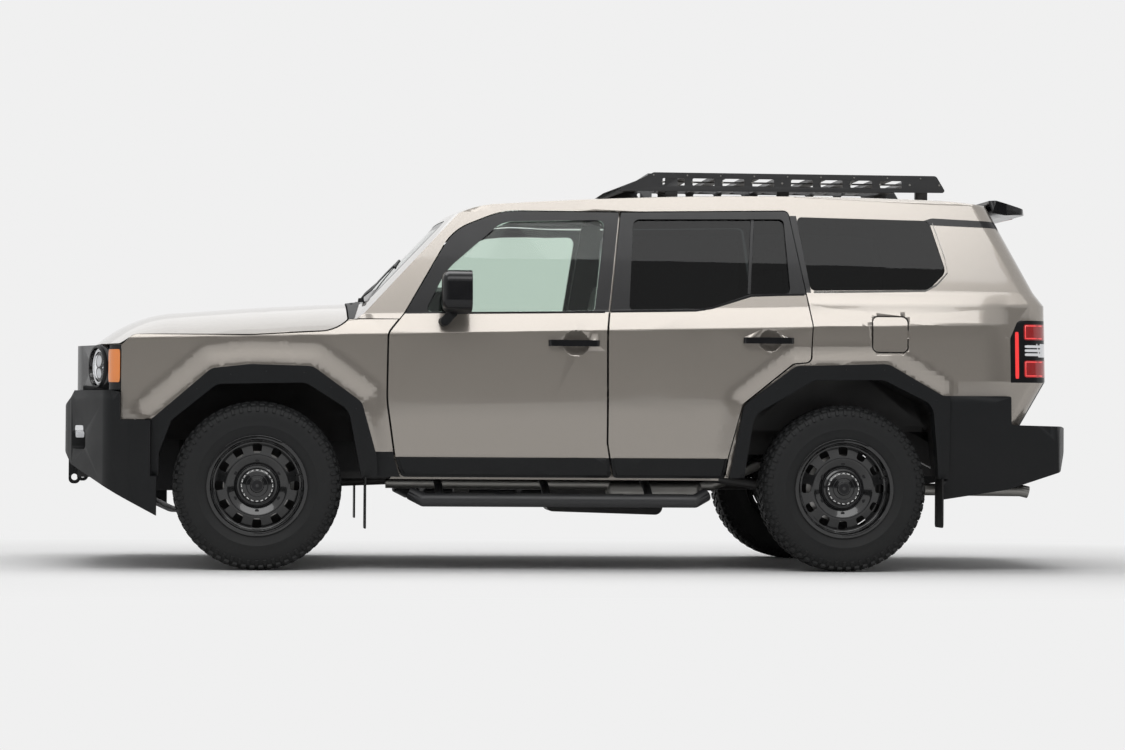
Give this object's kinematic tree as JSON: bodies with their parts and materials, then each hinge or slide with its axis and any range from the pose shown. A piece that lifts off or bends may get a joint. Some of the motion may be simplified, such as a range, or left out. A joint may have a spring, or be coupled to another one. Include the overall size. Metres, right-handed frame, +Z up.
{
  "type": "off-road car",
  "caption": "Lifted five-door off-road car with body-on-frame chassis, roof rack, side steps, mud flaps, opening doors, bonnet, tailgate and fuel flap, and steered front wheels.",
  "frame": {"origin": "ground level under the middle of the overall length, on the centreline", "axes": "+X towards the tail, +Y to the car's right, +Z up"},
  "size_m": [4.9794, 2.245, 1.966],
  "materials": {
    "paint": "metallic taupe with clear coat",
    "gloss_black": "gloss black",
    "privacy_glass": "dark tint",
    "clear_glass": "light green tint",
    "lamp_clear": "clear lens over a dark housing",
    "lamp_red": "red and clear lens",
    "black_plastic": "grained black",
    "leather": "stitched black",
    "flap_rubber": "matt black",
    "seat_fabric": "woven charcoal",
    "skid_steel": "pressed plate",
    "black_steel": "satin black coat",
    "steel": "bare",
    "cast_metal": "as cast",
    "tyre": "tread rubber",
    "rim_black": "gloss black"
  },
  "bodies": {
    "chassis": {"body_shell": "paint", "cowl": "black_plastic", "dashboard": "black_plastic", "drive_shafts": "steel", "engine_block": "cast_metal", "exhaust": "steel", "front_arch_flares": "black_plastic", "front_bumper": "black_plastic", "front_fender_left": "paint", "front_fender_right": "paint", "front_seats": "seat_fabric", "front_suspension": "black_steel", "fuel_tank": "black_plastic", "grille": "gloss_black", "headlights": "lamp_clear", "ladder_frame": "black_steel", "mud_flaps": "flap_rubber", "quarter_glass": "privacy_glass", "rear_arch_flares": "black_plastic", "rear_axle": "black_steel", "rear_bench": "seat_fabric", "rear_bumper": "black_plastic", "rear_springs": "black_steel", "roof_rack": "black_steel", "side_steps": "black_steel", "skid_plate": "skid_steel", "tail_lights": "lamp_red", "windscreen": "clear_glass"},
    "door_front_left": {"front_door_left": "paint", "front_door_glass_left": "clear_glass", "mirror_left": "gloss_black"},
    "door_front_right": {"front_door_right": "paint", "front_door_glass_right": "clear_glass", "mirror_right": "gloss_black"},
    "door_rear_left": {"rear_door_left": "paint", "rear_door_glass_left": "privacy_glass"},
    "door_rear_right": {"rear_door_right": "paint", "rear_door_glass_right": "privacy_glass"},
    "bonnet_panel": {"bonnet": "paint"},
    "tailgate_panel": {"tailgate": "paint", "tailgate_glass": "privacy_glass", "rear_spoiler": "gloss_black"},
    "flap": {"fuel_flap": "paint"},
    "hub_left": {"knuckle_left": "cast_metal"},
    "hub_right": {"knuckle_right": "cast_metal"},
    "wheel_front_left": {"tyre_front_left": "tyre", "rim_front_left": "rim_black"},
    "wheel_front_right": {"tyre_front_right": "tyre", "rim_front_right": "rim_black"},
    "wheel_rear_left": {"tyre_rear_left": "tyre", "rim_rear_left": "rim_black"},
    "wheel_rear_right": {"tyre_rear_right": "tyre", "rim_rear_right": "rim_black"},
    "helm": {"steering_wheel": "leather"}
  },
  "joints": [
    {"name": "front_door_left_swing", "type": "hinge", "parent": "chassis", "child": "door_front_left", "pos_m": [-0.887, -0.9275, 0.96], "axis": [0, 0, -1], "range_deg": [0, 65]},
    {"name": "front_door_right_swing", "type": "hinge", "parent": "chassis", "child": "door_front_right", "pos_m": [-0.887, 0.9275, 0.96], "axis": [0, 0, 1], "range_deg": [0, 65]},
    {"name": "rear_door_left_swing", "type": "hinge", "parent": "chassis", "child": "door_rear_left", "pos_m": [0.1745, -0.9335, 0.96], "axis": [0, 0, -1], "range_deg": [0, 70]},
    {"name": "rear_door_right_swing", "type": "hinge", "parent": "chassis", "child": "door_rear_right", "pos_m": [0.1745, 0.9335, 0.96], "axis": [0, 0, 1], "range_deg": [0, 70]},
    {"name": "bonnet_lift", "type": "hinge", "parent": "chassis", "child": "bonnet_panel", "pos_m": [-1.117, 0, 1.316], "axis": [0, 1, 0], "range_deg": [0, 50]},
    {"name": "tailgate_lift", "type": "hinge", "parent": "chassis", "child": "tailgate_panel", "pos_m": [2.068, 0, 1.834], "axis": [0, -1, 0], "range_deg": [0, 80]},
    {"name": "fuel_flap_swing", "type": "hinge", "parent": "chassis", "child": "flap", "pos_m": [1.47, -0.918, 1.16], "axis": [0, 0, -1], "range_deg": [0, 85]},
    {"name": "steer_left", "type": "hinge", "parent": "chassis", "child": "hub_left", "pos_m": [-1.55, -0.744, 0.406], "axis": [0, 0, 1], "range_deg": [-33, 33]},
    {"name": "steer_right", "type": "hinge", "parent": "chassis", "child": "hub_right", "pos_m": [-1.55, 0.744, 0.406], "axis": [0, 0, 1], "range_deg": [-33, 33]},
    {"name": "wheel_front_left_spin", "type": "hinge", "parent": "hub_left", "child": "wheel_front_left", "pos_m": [-1.55, -0.832, 0.406], "axis": [0, 1, 0], "continuous": true},
    {"name": "wheel_front_right_spin", "type": "hinge", "parent": "hub_right", "child": "wheel_front_right", "pos_m": [-1.55, 0.832, 0.406], "axis": [0, 1, 0], "continuous": true},
    {"name": "wheel_rear_left_spin", "type": "hinge", "parent": "chassis", "child": "wheel_rear_left", "pos_m": [1.3, -0.832, 0.406], "axis": [0, 1, 0], "continuous": true},
    {"name": "wheel_rear_right_spin", "type": "hinge", "parent": "chassis", "child": "wheel_rear_right", "pos_m": [1.3, 0.832, 0.406], "axis": [0, 1, 0], "continuous": true},
    {"name": "steering_wheel_turn", "type": "hinge", "parent": "chassis", "child": "helm", "pos_m": [-0.465, -0.385, 1.085], "axis": [0.9135, 0, 0.4067], "range_deg": [-470, 470]}
  ],
  "couplings": [
    {"joint": "steer_right", "follows": "steer_left", "ratio": 1},
    {"joint": "steering_wheel_turn", "follows": "steer_left", "ratio": 14}
  ]
}
